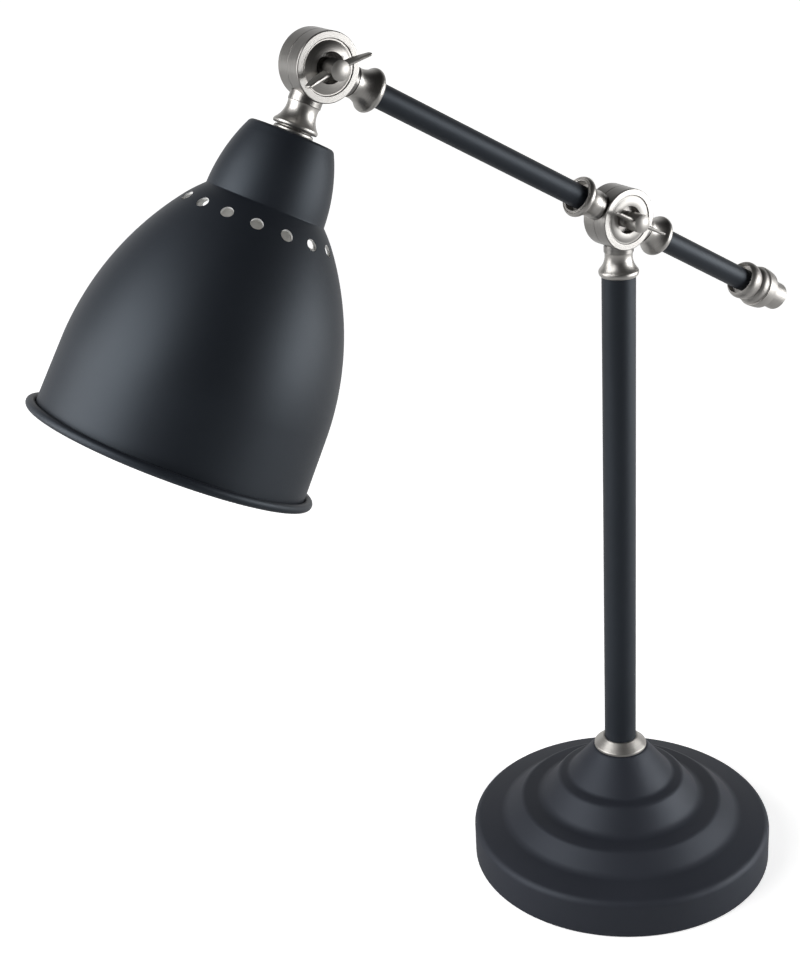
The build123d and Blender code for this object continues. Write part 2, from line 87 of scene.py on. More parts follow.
def arc_from(start, tangent, end, steps=20):
    """Points after start, on the arc that leaves start along tangent and reaches end."""
    start, end = Vector(start), Vector(end)
    along = Vector(tangent).normalized()
    aside = Vector((-along.y, along.x))
    chord = end - start
    if abs(chord.dot(aside)) < 1e-9:
        return [tuple(end)]
    centre = start + aside * (chord.length_squared / (2 * chord.dot(aside)))
    sweep = 2 * math.atan2(chord.dot(aside), chord.dot(along))
    arm = start - centre
    points = []
    for k in range(1, steps + 1):
        a = sweep * k / steps
        points.append((centre.x + arm.x * math.cos(a) - arm.y * math.sin(a),
                       centre.y + arm.x * math.sin(a) + arm.y * math.cos(a)))
    return points


def arc_through(start, middle, end, steps=20):
    """Points after start, on the arc through middle to end."""
    a, b, c = Vector(start), Vector(middle), Vector(end)
    lean = math.pi - (a - b).angle(c - b)
    side = (b - a).x * (c - a).y - (b - a).y * (c - a).x
    first = Matrix.Rotation(-math.copysign(lean, side), 2) @ (c - a)
    return arc_from(start, first, end, steps)


def rounded(points, radii, steps=6, hold=0.08):
    """The same line, with a radius at each inner corner and points that keep its straights flat."""
    if not isinstance(radii, (list, tuple)):
        radii = [radii] * (len(points) - 2)
    runs = [[tuple(points[0])]]
    for before, corner, after, radius in zip(points, points[1:], points[2:], radii):
        before, corner, after = Vector(before), Vector(corner), Vector(after)
        to_before, to_after = (before - corner).normalized(), (after - corner).normalized()
        half = to_before.angle(to_after) / 2
        if radius <= 0 or half > math.radians(89.5):
            runs.append([tuple(corner)])
            continue
        reach = radius / math.tan(half)
        first, last = corner + to_before * reach, corner + to_after * reach
        runs.append([tuple(first)] + arc_from(first, -to_before, last, steps))
    runs.append([tuple(points[-1])])
    line = runs[0]
    for run in runs[1:]:
        start, end = Vector(line[-1]), Vector(run[0])
        if hold and (end - start).length > 0.5:
            step = (end - start).normalized() * hold
            line = line + [tuple(start + step), tuple(end - step)]
        line = line + run
    return line


def rounded_loop(points, radius, steps=4):
    """A closed outline with every corner eased."""
    ring = [points[-1]] + list(points) + [points[0]]
    line = rounded(ring, radius, steps)[1:-1]
    return [p for k, p in enumerate(line) if (Vector(p) - Vector(line[k - 1])).length > 1e-4]


def pressed_sheet(path, thickness):
    """Closed outline of a sheet whose outside follows the path; the sheet lies on its left."""
    inner = []
    for k, point in enumerate(path):
        before = Vector(path[max(k - 1, 0)])
        after = Vector(path[min(k + 1, len(path) - 1)])
        along = (after - before).normalized()
        inner.append((point[0] - along.y * thickness, point[1] + along.x * thickness))
    return list(path) + inner[::-1]


# Meshes

def axes_round(direction):
    """Two directions across an axis, which make a right-handed frame with it."""
    across = Vector((-direction.z, 0, direction.x)) if abs(direction.y) < 0.5 else Vector((1, 0, 0))
    return across, direction.cross(across)


def on_axis(origin, direction):
    """Matrix that lays a mesh made about +Z on an axis."""
    across, side = axes_round(direction)
    return Matrix.Translation(origin) @ Matrix((across, side, direction)).transposed().to_4x4()


def ring_of(bm, centre, across, side, radius, steps, start):
    """A ring of vertices, or its centre alone where it has no radius."""
    if radius < 1e-6:
        return [bm.verts.new(centre)]
    ring = []
    for k in range(steps):
        a = start + math.tau * k / steps
        ring.append(bm.verts.new(centre + (across * math.cos(a) + side * math.sin(a)) * radius * MM))
    return ring


def join_rings(bm, low, high, v_low, v_high, finish=0):
    """Faces between two rings, with the turn as u and millimetres along the outline as v."""
    uv = bm.loops.layers.uv.verify()
    steps = max(len(low), len(high))
    for k in range(steps):
        n = (k + 1) % steps
        corners = [(low[k % len(low)], k, v_low), (low[n % len(low)], k + 1, v_low),
                   (high[n % len(high)], k + 1, v_high), (high[k % len(high)], k, v_high)]
        kept = []
        for corner in corners:
            if corner[0] not in [c[0] for c in kept]:
                kept.append(corner)
        if len(kept) < 3:
            continue
        face = bm.faces.new([c[0] for c in kept])
        face.material_index = finish
        for loop, corner in zip(face.loops, kept):
            loop[uv].uv = (corner[1] / steps, corner[2])


def turn(bm, outline, origin, direction, steps=STEPS, start=0.0, closed=True, finishes=None):
    """Turns an outline about an axis. finishes gives a material number for each span, or None for no faces."""
    across, side = axes_round(direction)
    rings, lengths = [], [0.0]
    for k, (radius, station) in enumerate(outline):
        rings.append(ring_of(bm, origin + direction * station * MM, across, side, radius, steps, start))
        if k:
            lengths.append(lengths[-1] + (Vector(outline[k]) - Vector(outline[k - 1])).length)
    for k in range(len(outline) - 1):
        number = finishes[k] if finishes else 0
        if number is not None:
            join_rings(bm, rings[k], rings[k + 1], lengths[k], lengths[k + 1], number)
    if closed and (len(rings[0]) > 1 or len(rings[-1]) > 1):
        gap = (Vector(outline[0]) - Vector(outline[-1])).length
        join_rings(bm, rings[-1], rings[0], lengths[-1], lengths[-1] + gap)


def finish_piece(bm, name, body, replaced, finishes):
    """Makes the object, hides the solid that it stands for and hangs it on its body."""
    bmesh.ops.recalc_face_normals(bm, faces=bm.faces)
    mesh = bpy.data.meshes.new(name)
    bm.to_mesh(mesh)
    bm.free()
    mesh.shade_smooth()
    mesh.set_sharp_from_angle(angle=SHARP)
    for finish in finishes:
        mesh.materials.append(finish)
    piece = bpy.data.objects.new(name, mesh)
    scene.collection.objects.link(piece)
    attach(piece, body)
    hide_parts(*replaced)


def turned_piece(name, outline, origin, direction, body, node, finish):
    """One outline turned into a whole piece."""
    bm = bmesh.new()
    turn(bm, outline, origin, direction)
    finish_piece(bm, name, body, [node], [finish])


# Node trees

def put(tree, kind, values=None, **settings):
    """Adds a node, with its settings and the values of its sockets by name or number."""
    node = tree.nodes.new(kind)
    for key, value in settings.items():
        setattr(node, key, value)
    for key, value in (values or {}).items():
        node.inputs[key].default_value = value
    return node


def maths(tree, operation, values=None):
    """A node for one sum."""
    return put(tree, "ShaderNodeMath", values, operation=operation)


def ranged(tree, given, wanted, **settings):
    """A node that maps one range of numbers to another."""
    limits = dict(zip(("From Min", "From Max", "To Min", "To Max"), (*given, *wanted)))
    return put(tree, "ShaderNodeMapRange", limits, **settings)


def wire(tree, *links):
    """Links nodes. Each link is a node and its output, then a node and its input, by name or number."""
    for source, output, target, entry in links:
        tree.links.new(source.outputs[output], target.inputs[entry])


def new_group(name, kind, inputs, outputs):
    """A node group with named sockets; inputs are (name, type, default)."""
    tree = bpy.data.node_groups.new(name, kind)
    for label, socket, default in inputs:
        made = tree.interface.new_socket(label, in_out="INPUT", socket_type=socket)
        if default is not None:
            made.default_value = default
    for label, socket in outputs:
        tree.interface.new_socket(label, in_out="OUTPUT", socket_type=socket)
    return tree, tree.nodes.new("NodeGroupInput"), tree.nodes.new("NodeGroupOutput")


def run_tree(tree, start_mesh, values):
    """Runs a geometry tree on a mesh and gives back the plain mesh that it makes."""
    carrier = bpy.data.objects.new(tree.name, start_mesh)
    scene.collection.objects.link(carrier)
    modifier = carrier.modifiers.new(tree.name, "NODES")
    modifier.node_group = tree
    for item in tree.interface.items_tree:
        if item.item_type == "SOCKET" and item.in_out == "INPUT" and item.name in values:
            modifier[item.identifier] = values[item.name]
    carrier.update_tag()
    depsgraph = bpy.context.evaluated_depsgraph_get()
    made = bpy.data.meshes.new_from_object(carrier.evaluated_get(depsgraph), preserve_all_data_layers=True,
                                           depsgraph=depsgraph)
    carrier.modifiers.remove(modifier)
    bpy.data.objects.remove(carrier)
    return made


def vent_ring_tree():
    """Repeats one vented slice of the shade all round its axis."""
    tree, given, made = new_group("vent_ring", "GeometryNodeTree", [
        ("Slice", "NodeSocketGeometry", None), ("Count", "NodeSocketInt", 16),
        ("Outside", "NodeSocketMaterial", None), ("Inside", "NodeSocketMaterial", None),
    ], [("Band", "NodeSocketGeometry")])
    spots = put(tree, "GeometryNodePoints")
    index = put(tree, "GeometryNodeInputIndex")
    share = maths(tree, "DIVIDE", {0: math.tau})
    angle = maths(tree, "MULTIPLY")
    spin = put(tree, "ShaderNodeCombineXYZ")
    copies = put(tree, "GeometryNodeInstanceOnPoints")
    real = put(tree, "GeometryNodeRealizeInstances")
    weld = put(tree, "GeometryNodeMergeByDistance", {"Distance": 1e-6})
    lined = put(tree, "GeometryNodeInputNamedAttribute", {"Name": "inside"}, data_type="BOOLEAN")
    paint = put(tree, "GeometryNodeSetMaterial")
    lining = put(tree, "GeometryNodeSetMaterial")
    wire(tree, (given, "Count", spots, "Count"), (given, "Count", share, 1), (index, 0, angle, 0),
         (share, 0, angle, 1), (angle, 0, spin, "Z"), (spots, 0, copies, "Points"),
         (given, "Slice", copies, "Instance"), (spin, 0, copies, "Rotation"), (copies, 0, real, 0), (real, 0, weld, 0),
         (weld, 0, paint, "Geometry"), (given, "Outside", paint, "Material"), (paint, 0, lining, "Geometry"),
         (lined, 0, lining, "Selection"), (given, "Inside", lining, "Material"), (lining, 0, made, "Band"))
    return tree


def thread_tree():
    """A thread as a ridge that climbs a cylinder, from the origin along +Z."""
    tree, given, made = new_group("screw_thread", "GeometryNodeTree", [
        ("Start", "NodeSocketGeometry", None), ("Radius", "NodeSocketFloat", 0.003),
        ("Pitch", "NodeSocketFloat", 0.001), ("Turns", "NodeSocketFloat", 4.0),
        ("Ridge", "NodeSocketFloat", 0.0003), ("Sides", "NodeSocketInt", 6), ("Finish", "NodeSocketMaterial", None),
    ], [("Thread", "NodeSocketGeometry")])
    height = maths(tree, "MULTIPLY")
    helix = put(tree, "GeometryNodeCurveSpiral", {"Resolution": 40})
    section = put(tree, "GeometryNodeCurvePrimitiveCircle")
    ridge = put(tree, "GeometryNodeCurveToMesh", {"Fill Caps": True})
    real = put(tree, "GeometryNodeRealizeInstances")
    finish = put(tree, "GeometryNodeSetMaterial")
    wire(tree, (given, "Pitch", height, 0), (given, "Turns", height, 1), (given, "Turns", helix, "Rotations"),
         (given, "Radius", helix, "Start Radius"), (given, "Radius", helix, "End Radius"),
         (height, 0, helix, "Height"), (given, "Sides", section, "Resolution"), (given, "Ridge", section, "Radius"),
         (helix, 0, ridge, "Curve"), (section, 0, ridge, "Profile Curve"), (ridge, 0, real, 0),
         (real, 0, finish, "Geometry"), (given, "Finish", finish, "Material"), (finish, 0, made, "Thread"))
    return tree


# Finishes

def grain_group():
    """Fine grain and slow drift of a coated or moulded surface."""
    tree, given, made = new_group("coat_grain", "ShaderNodeTree", [
        ("Vector", "NodeSocketVector", None), ("Grain", "NodeSocketFloat", 1800.0), ("Drift", "NodeSocketFloat", 22.0),
    ], [("Tint", "NodeSocketFloat"), ("Sheen", "NodeSocketFloat"), ("Height", "NodeSocketFloat")])
    fine = put(tree, "ShaderNodeTexNoise", {"Detail": 3.0, "Roughness": 0.6})
    slow = put(tree, "ShaderNodeTexNoise", {"Detail": 4.0, "Roughness": 0.55, "Distortion": 0.3})
    both = maths(tree, "ADD")
    halved = maths(tree, "MULTIPLY", {1: 0.5})
    wire(tree, (given, "Vector", fine, "Vector"), (given, "Grain", fine, "Scale"), (given, "Vector", slow, "Vector"),
         (given, "Drift", slow, "Scale"), (fine, 0, both, 0), (slow, 0, both, 1), (both, 0, halved, 0),
         (slow, 0, made, "Tint"), (halved, 0, made, "Sheen"), (fine, 0, made, "Height"))
    return tree


def turning_group():
    """Fine lines left round a turned or brushed piece, from the length along its outline."""
    tree, given, made = new_group("turning_lines", "ShaderNodeTree", [
        ("Along", "NodeSocketFloat", 0.0), ("Fineness", "NodeSocketFloat", 9.0),
    ], [("Line", "NodeSocketFloat"), ("Height", "NodeSocketFloat")])
    broad = put(tree, "ShaderNodeTexNoise", {"Detail": 2.0}, noise_dimensions="1D")
    fine = put(tree, "ShaderNodeTexNoise", {"Detail": 4.0, "Roughness": 0.7}, noise_dimensions="1D")
    slower = maths(tree, "MULTIPLY", {1: 0.12})
    wire(tree, (given, "Along", broad, "W"), (given, "Along", fine, "W"), (given, "Fineness", slower, 0),
         (slower, 0, broad, "Scale"), (given, "Fineness", fine, "Scale"), (broad, 0, made, "Line"),
         (fine, 0, made, "Height"))
    return tree


def new_finish(name, values):
    """A material with a principled shader, its values set, for the caller to drive."""
    finish = bpy.data.materials.new(name)
    finish.use_nodes = True
    tree = finish.node_tree
    tree.nodes.clear()
    shader = put(tree, "ShaderNodeBsdfPrincipled", values)
    out = tree.nodes.new("ShaderNodeOutputMaterial")
    wire(tree, (shader, 0, out, "Surface"))
    return finish, tree, shader


def between(tree, value, low, high):
    """A number between low and high, from a value of about 0.3 to 0.7."""
    spread = ranged(tree, (0.3, 0.7), (low, high))
    tree.links.new(value, spread.inputs["Value"])
    return spread.outputs["Result"]


def mixed(tree, value, dark, light):
    """A colour between dark and light, from a value of about 0.3 to 0.7."""
    factor, colour_a, colour_b, colour_out = 0, 6, 7, 2
    mix = put(tree, "ShaderNodeMix", data_type="RGBA")
    mix.inputs[colour_a].default_value = (*dark, 1)
    mix.inputs[colour_b].default_value = (*light, 1)
    tree.links.new(between(tree, value, 0.0, 1.0), mix.inputs[factor])
    return mix.outputs[colour_out]


def bumped(tree, shader, height, strength, distance):
    """Tilts the shader's normal by a height."""
    bump = put(tree, "ShaderNodeBump", {"Strength": strength, "Distance": distance})
    wire(tree, (bump, 0, shader, "Normal"))
    tree.links.new(height, bump.inputs["Height"])


def grained(name, dark, light, rough, grain, drift, bump, depth=0.0001, metal=0.0, specular=0.5, tint=(1, 1, 1)):
    """Coated, cast or moulded surface: tint drifts slowly, gloss and height follow a fine grain."""
    finish, tree, shader = new_finish(name, {
        "Metallic": metal, "Specular IOR Level": specular, "Specular Tint": (*tint, 1)})
    where = tree.nodes.new("ShaderNodeTexCoord")
    group = put(tree, "ShaderNodeGroup", {"Grain": grain, "Drift": drift}, node_tree=coat_grain)
    wire(tree, (where, "Object", group, "Vector"))
    tree.links.new(mixed(tree, group.outputs["Tint"], dark, light), shader.inputs["Base Color"])
    tree.links.new(between(tree, group.outputs["Sheen"], *rough), shader.inputs["Roughness"])
    bumped(tree, shader, group.outputs["Height"], bump, depth)
    return finish


def brushed(name, dark, light, rough, fineness, bump, drift, depth=0.00003):
    """Plated metal with fine lines round it and a slow change of gloss from handling."""
    finish, tree, shader = new_finish(name, {"Metallic": 1.0})
    where = tree.nodes.new("ShaderNodeTexCoord")
    split = tree.nodes.new("ShaderNodeSeparateXYZ")
    lines = put(tree, "ShaderNodeGroup", {"Fineness": fineness}, node_tree=turning_lines)
    haze = put(tree, "ShaderNodeGroup", {"Drift": drift, "Grain": drift * 20}, node_tree=coat_grain)
    mean = maths(tree, "ADD")
    half = maths(tree, "MULTIPLY", {1: 0.5})
    wire(tree, (where, "UV", split, 0), (split, "Y", lines, "Along"), (where, "Object", haze, "Vector"),
         (lines, "Line", mean, 0), (haze, "Tint", mean, 1), (mean, 0, half, 0))
    tree.links.new(mixed(tree, lines.outputs["Line"], dark, light), shader.inputs["Base Color"])
    tree.links.new(between(tree, half.outputs[0], *rough), shader.inputs["Roughness"])
    bumped(tree, shader, lines.outputs["Height"], bump, depth)
    return finish


coat_grain = grain_group()
turning_lines = turning_group()
lacquer = dict(grain=1500, drift=14, bump=0.10, depth=0.0002)
smooth_lines = dict(fineness=16.0, bump=0.02, drift=50)
fine_lines = dict(fineness=14.0, bump=0.03, drift=50)
charcoal_paint = grained("charcoal_paint", (0.0086, 0.0104, 0.0146), (0.0112, 0.0134, 0.0186), (0.46, 0.56),
                         **lacquer, specular=0.47, tint=(0.775, 0.885, 1.0))
# The base's paint is lighter than the charcoal paint elsewhere: partly a greyer, rougher coat on the base, partly
# painted light standing in for light from the front and above
base_coat_and_painted_light = grained("base_coat_and_painted_light", (0.0140, 0.0155, 0.0216), (0.0179, 0.0196, 0.0270), (0.54, 0.64),
                     **lacquer, specular=0.45, tint=(0.80, 0.88, 1.0))
white_lining = grained("white_lining", (0.66, 0.66, 0.65), (0.74, 0.74, 0.73), (0.34, 0.46),
                       grain=1300, drift=18, bump=0.08, depth=0.0002)
satin_nickel = brushed("satin_nickel", (0.29, 0.281, 0.270), (0.35, 0.340, 0.326), (0.30, 0.38),
                       fineness=14.0, bump=0.06, depth=0.00004, drift=60)
bright_nickel = brushed("bright_nickel", (0.45, 0.436, 0.416), (0.51, 0.495, 0.472), (0.34, 0.42), **smooth_lines)
# Cup-washer nickel made lighter for the head washer: painted light
cup_nickel_painted_light = brushed("cup_nickel_painted_light", (0.40, 0.387, 0.369), (0.46, 0.445, 0.424), (0.30, 0.38), **smooth_lines)
cast_nickel = grained("cast_nickel", (0.41, 0.398, 0.381), (0.49, 0.476, 0.455), (0.42, 0.52),
                      grain=900, drift=60, bump=0.10, metal=1.0)
# The same cup-washer nickel made darker for the mid washer: painted shade
cup_nickel_painted_shade = brushed("cup_nickel_painted_shade", (0.29, 0.282, 0.270), (0.325, 0.316, 0.303), (0.34, 0.42), **fine_lines)
polished_nickel = brushed("polished_nickel", (0.345, 0.336, 0.323), (0.365, 0.356, 0.343), (0.25, 0.31),
                          fineness=12.0, bump=0.01, depth=0.00002, drift=45)
finial_nickel = brushed("finial_nickel", (0.39, 0.377, 0.360), (0.45, 0.436, 0.417), (0.44, 0.52), **fine_lines)
# Nickel darkened as painted shade: a painted reflection of dark surroundings on the barrel of the head's wing screw
barrel_nickel_painted_shade = brushed("barrel_nickel_painted_shade", (0.11, 0.106, 0.101), (0.15, 0.145, 0.138), (0.36, 0.44), **fine_lines)
foot_nickel = brushed("foot_nickel", (0.43, 0.415, 0.392), (0.48, 0.464, 0.439), (0.38, 0.46),
                      fineness=14.0, bump=0.04, drift=60)
drawn_brass = grained("drawn_brass", (0.62, 0.44, 0.18), (0.76, 0.58, 0.28), (0.20, 0.36),
                      grain=600, drift=60, bump=0.08, metal=1.0)
holder_plastic = grained("holder_plastic", (0.60, 0.59, 0.56), (0.68, 0.67, 0.64), (0.26, 0.38),
                         grain=500, drift=30, bump=0.04)

# Finish of each solid, by its material slot
finish_of_slot = {
    "black_paint": charcoal_paint, "satin_nickel": satin_nickel, "brass": drawn_brass, "holder_plastic": holder_plastic,
    "cast_iron": grained("cast_iron", (0.045, 0.045, 0.048), (0.085, 0.083, 0.082), (0.62, 0.85),
                         grain=420, drift=30, bump=0.5, depth=0.0004),
    "zinc_steel": grained("zinc_plate", (0.50, 0.51, 0.53), (0.64, 0.65, 0.67), (0.28, 0.42),
                          grain=700, drift=40, bump=0.10, metal=1.0),
    "pad_rubber": grained("foam_rubber", (0.014, 0.014, 0.014), (0.028, 0.028, 0.028), (0.80, 0.95),
                          grain=900, drift=25, bump=0.5, depth=0.0003, specular=0.25),
    "fibre": grained("pressed_fibre", (0.030, 0.027, 0.024), (0.060, 0.053, 0.047), (0.70, 0.90),
                     grain=1100, drift=80, bump=0.3, depth=0.0002, specular=0.3),
    "ceramic": grained("bare_ceramic", (0.70, 0.68, 0.62), (0.80, 0.78, 0.72), (0.55, 0.75),
                       grain=800, drift=40, bump=0.2, depth=0.0002),
    "bush_plastic": grained("bush_nylon", (0.012, 0.012, 0.013), (0.024, 0.024, 0.025), (0.45, 0.60),
                            grain=900, drift=60, bump=0.1),
}
for entry in frame["record"]["subparts"]:
    solid = nodes[entry["node"]]
    finish = finish_of_slot[entry["material_slot"]]
    if not solid.material_slots:
        solid.data.materials.append(finish)
    for place in solid.material_slots:
        place.material = finish


# Base shell in three soft steps, its foot ring and the stem

def painted_tube(name, bore, radius, low, high, origin, direction, body, node):
    """Straight painted tube with eased ends."""
    outline = rounded_loop([(bore, low), (radius, low), (radius, high), (bore, high)], 0.3)
    turned_piece(name, outline, origin, direction, body, node, charcoal_paint)


def make_base():
    # Corners of the steps from the brim up, as radius, height and easing
    steps = [(base_r, 22.4, 4.5), (68.5, 26.4, 10.0), (58.0, 36.9, 4.4), (46.4, 37.7, 8.0), (36.2, 51.5, 4.4),
             (30.4, 52.7, 4.4), (land_r, land_h, 2.0)]
    corners = [(base_r, base_foot)] + [step[:2] for step in steps] + [(rod_fit_r, land_h)]
    path = rounded(corners, [step[2] for step in steps], 10, hold=0)
    # Lighter base paint: partly its own coat, partly painted light
    turned_piece("stepped_base", pressed_sheet(path, base_sheet), desk, up, "base", "base_shell",
                 base_coat_and_painted_light)
    ring = rounded_loop([(rod_fit_r, land_h), (foot_r, land_h), (foot_r, land_h + foot_edge),
                         (foot_top_r, land_h + foot_h), (stem_fit_r, land_h + foot_h), (stem_fit_r, stem_bottom),
                         (rod_fit_r, stem_bottom)], [0.05, 0.4, 0.7, 0.3, 0.2, 0.1, 0.05])
    turned_piece("foot_ring_nickel", ring, desk, up, "base", "foot_ring", foot_nickel)
    painted_tube("stem_tube", stem_bore_r, stem_r, stem_bottom, stem_top, desk, up, "base", "stem")


# Collars: waist, flare, rolled lip and an open cup

def collar_outline(bore, cup, cup_depth, end_r, length):
    """From the foot on the post over the rolled lip, then back through the cup and the bore."""
    foot, waist = (collar_foot_r, post_end), (waist_r, post_end + waist_at)
    flare, roll = (flare_r, post_end + flare_at), (roll_r, post_end + roll_at)
    end_at = post_end + length
    cup_at = end_at - cup_depth
    line = [foot] + arc_from(waist, (0, -1), foot, 6)[::-1][1:] + [waist]
    line += arc_from(waist, (0, 1), flare)
    line += arc_through(flare, roll, (end_r, end_at), 14)
    mouth = [line[-1]]
    if cup < groove_in_r:
        mouth += [(groove_out_r, end_at), (groove_out_r - groove_slope, end_at - groove_depth),
                  (groove_in_r + groove_slope, end_at - groove_depth), (groove_in_r, end_at)]
    inside = rounded(mouth + [(cup, end_at), (cup, cup_at), (bore, cup_at), (bore, post_end), foot],
                     [0.1] * (len(mouth) - 1) + [0.35, 0.3, 0.1, 0.05])
    return line + inside[1:-1]


def make_collars():
    arm = collar_outline(bore=arm_fit_r, cup=7.8, cup_depth=4.7, end_r=9.7, length=12.7)
    stem = collar_outline(bore=rod_fit_r, cup=stem_fit_r, cup_depth=1.7, end_r=9.7, length=12.7)
    neck = collar_outline(bore=rod_fit_r, cup=6.5, cup_depth=3.4, end_r=10.3, length=11.4)
    places = [("arm_front_collar", mid_hinge, -arm_dir, "arm", arm),
              ("arm_rear_collar", mid_hinge, arm_dir, "arm", arm),
              ("arm_head_collar", head_hinge, arm_dir, "arm", arm),
              ("stem_collar", mid_hinge, -up, "base", stem),
              ("neck_collar", head_hinge, shade_dir, "head", neck)]
    for node, centre, direction, body, outline in places:
        turned_piece(node + "_trumpet", outline, centre, direction, body, node, bright_nickel)
    ring = rounded_loop([(rod_fit_r, neck_at), (neck_groove_r, neck_at), (neck_groove_r, neck_groove_end),
                         (neck_r, neck_groove_end), (neck_r, shade_top), (rod_fit_r, shade_top)],
                        [0.05, 0.1, 0.1, 0.95, 0.7, 0.05])
    turned_piece("neck_washer", ring, head_hinge, shade_dir, "head", "neck_ring", bright_nickel)


# Arm tubes and the tail finial

def make_arm():
    for node, direction, end in (("arm_rear_tube", arm_dir, tail_at + tail_seat),
                                 ("arm_front_tube", -arm_dir, arm_reach - post_end)):
        painted_tube(node + "_painted", arm_bore_r, arm_r, post_end, end, mid_hinge, direction, "arm", node)
    flange_foot, flange, groove, ring = (8.4, 0.0), (10.3, 3.4), (8.9, 8.4), (10.4, 11.2)
    bulb, bulb_end = (11.2, 13.6), (10.6, 20.0)
    spigot_r, spigot_end, button_r, button_end = 4.95, -6.0, 7.6, 32.5
    line = rounded([(0, spigot_end), (spigot_r, spigot_end), (spigot_r, tail_seat), (flange_foot[0], tail_seat),
                    flange_foot], [0.2, 0.1, 0.3])
    line += arc_from(flange, (0, -1), flange_foot, 10)[::-1][1:] + [flange]
    line += arc_from(flange, (0, 1), groove, 12)
    line += arc_from(ring, (0, -1), groove, 10)[::-1][1:] + [ring]
    line += rounded([ring, (ring[0], bulb[1]), bulb], 0.25)[1:]
    line += arc_from(bulb, (0, 1), bulb_end, 10)
    line += rounded([line[-1], (button_r, bulb_end[1]), (button_r, button_end), (0, button_end)], [0.6, 1.2])[1:]
    turned_piece("tail_finial_turned", line, mid_hinge + arm_dir * tail_at * MM, arm_dir, "arm", "tail_finial",
                 finial_nickel)


# Knuckles: two drum halves with posts, a crowned washer and a wing screw

def add_post(bm, centre, direction, radius, own_side):
    """Round post out of a drum half. Across the seam it stops clear of the other half."""
    across = direction.cross(own_side)
    steps, ease, v_step = 64, 0.25, 1.3
    seam_clear, sunk, root = 0.2, 1.5, knuckle_r - 1.0
    rings = []
    for station, inset in ((None, 0.0), (post_end - ease, 0.0), (post_end, ease)):
        ring = []
        for k in range(steps):
            a = math.tau * k / steps
            lateral, deep = (radius - inset) * math.cos(a), (radius - inset) * math.sin(a)
            rim = knuckle_r - sunk if deep > seam_clear else knuckle_r + rim_clear
            reach = math.sqrt(rim ** 2 - lateral ** 2) if station is None else station
            ring.append(bm.verts.new(centre + (direction * reach + across * lateral + own_side * deep) * MM))
        rings.append(ring)
    rings.insert(0, [bm.verts.new(centre + direction * root * MM)])
    rings.append([bm.verts.new(centre + direction * post_end * MM)])
    for k in range(len(rings) - 1):
        join_rings(bm, rings[k], rings[k + 1], k * v_step, (k + 1) * v_step)


def front_drum(name, centre, post_dir, body, node):
    """Front half, with a seat for the washer and a brighter face."""
    outline = rounded_loop([(screw_hole_r, seam_front), (lip_r, seam_front), (lip_r, lip_at), (knuckle_r, lip_at),
                            (knuckle_r, half_w), (cup_fit_r, half_w), (cup_fit_r, cup_floor),
                            (screw_hole_r, cup_floor)], [0.1, 0.05, 0.05, 0.1, 0.5, 0.25, 0.1, 0.1])
    face_at = half_w - 0.02
    face = [int(min(p[1], q[1]) > face_at) for p, q in zip(outline, outline[1:])]
    bm = bmesh.new()
    turn(bm, outline, centre, front, finishes=face)
    add_post(bm, centre, post_dir, post_r, front)
    finish_piece(bm, name, body, [node], [satin_nickel, polished_nickel])


def back_drum(name, centre, post_dirs, node):
    """Back half, closed behind and bored for the screw."""
    outline = rounded([(0, screw_bore_end), (screw_bore_r, screw_bore_end), (screw_bore_r, seam_back),
                       (lip_r, seam_back), (lip_r, lip_at), (knuckle_r, lip_at), (knuckle_r, half_w), (0, half_w)],
                      [0.1, 0.1, 0.05, 0.05, 0.1, 0.5])
    bm = bmesh.new()
    turn(bm, outline, centre, rear)
    for direction in post_dirs:
        add_post(bm, centre, direction, arm_post_r, rear)
    finish_piece(bm, name, "arm", [node], [satin_nickel])


def crowned_washer(name, centre, rise, body, node, finish):
    """Washer that rises from its brow at the rim to its sill at the hole."""
    brow, sill = (cup_r - cup_lip, cup_face), (cup_hole_r, cup_face + rise)
    middle = ((brow[0] + sill[0]) / 2, cup_face + rise / 2 + cup_bow)
    crown = [brow] + arc_through(brow, middle, sill, 16)
    rest = rounded([sill, (cup_hole_r, cup_floor), (cup_r, cup_floor), (cup_r, cup_face), brow], [0.1, 0.1, 0.2])
    turned_piece(name, crown + rest[1:-1], centre, front, body, node, finish)


def add_leaf(bm, centre, reach):
    """One wing: a broad leaf that rises and thins towards a rounded tip."""
    thick_dir = reach.cross(front)
    root, shoulder, tip = 2.1, 16.2, 17.6
    root_low, root_high, tip_low, tip_high = 2.2, 8.0, 6.6, 11.0
    root_thick, thinning, v_step = 1.25, 0.6, 0.7
    belly = [(root, root_low)] + arc_through((root, root_low), (8.8, 2.8), (shoulder, tip_low), 24)
    stations, sides, rings = 30, 24, []
    for k in range(stations):
        share = math.sin(math.pi / 2 * k / stations)
        along = root + (tip - root) * share
        place = min(along, shoulder)
        low = next(p[1] + (q[1] - p[1]) * (place - p[0]) / (q[0] - p[0])
                   for p, q in zip(belly, belly[1:]) if q[0] >= place - 1e-6)
        high = root_high + (tip_high - root_high) * (place - root) / (shoulder - root)
        pinch = math.sqrt(1 - ((along - place) / (tip - shoulder)) ** 2)
        mean, tall = (low + high) / 2, (high - low) / 2 * pinch
        thick = (root_thick - thinning * share) * pinch ** 0.6
        ring = []
        for j in range(sides):
            a = math.tau * j / sides
            c, s = math.cos(a), math.sin(a)
            rise = math.copysign(abs(s) ** 0.55, s) * tall
            width = math.copysign(abs(c) ** 0.6, c) * thick
            offset = reach * along + front * (half_w + mean + rise) + thick_dir * width
            ring.append(bm.verts.new(centre + offset * MM))
        rings.append(ring)
    root_mid, tip_mid = half_w + (root_low + root_high) / 2, half_w + (tip_low + tip_high) / 2
    rings.insert(0, [bm.verts.new(centre + (reach * root + front * root_mid) * MM)])
    rings.append([bm.verts.new(centre + (reach * tip + front * tip_mid) * MM)])
    for k in range(len(rings) - 1):
        join_rings(bm, rings[k], rings[k + 1], k * v_step, (k + 1) * v_step)


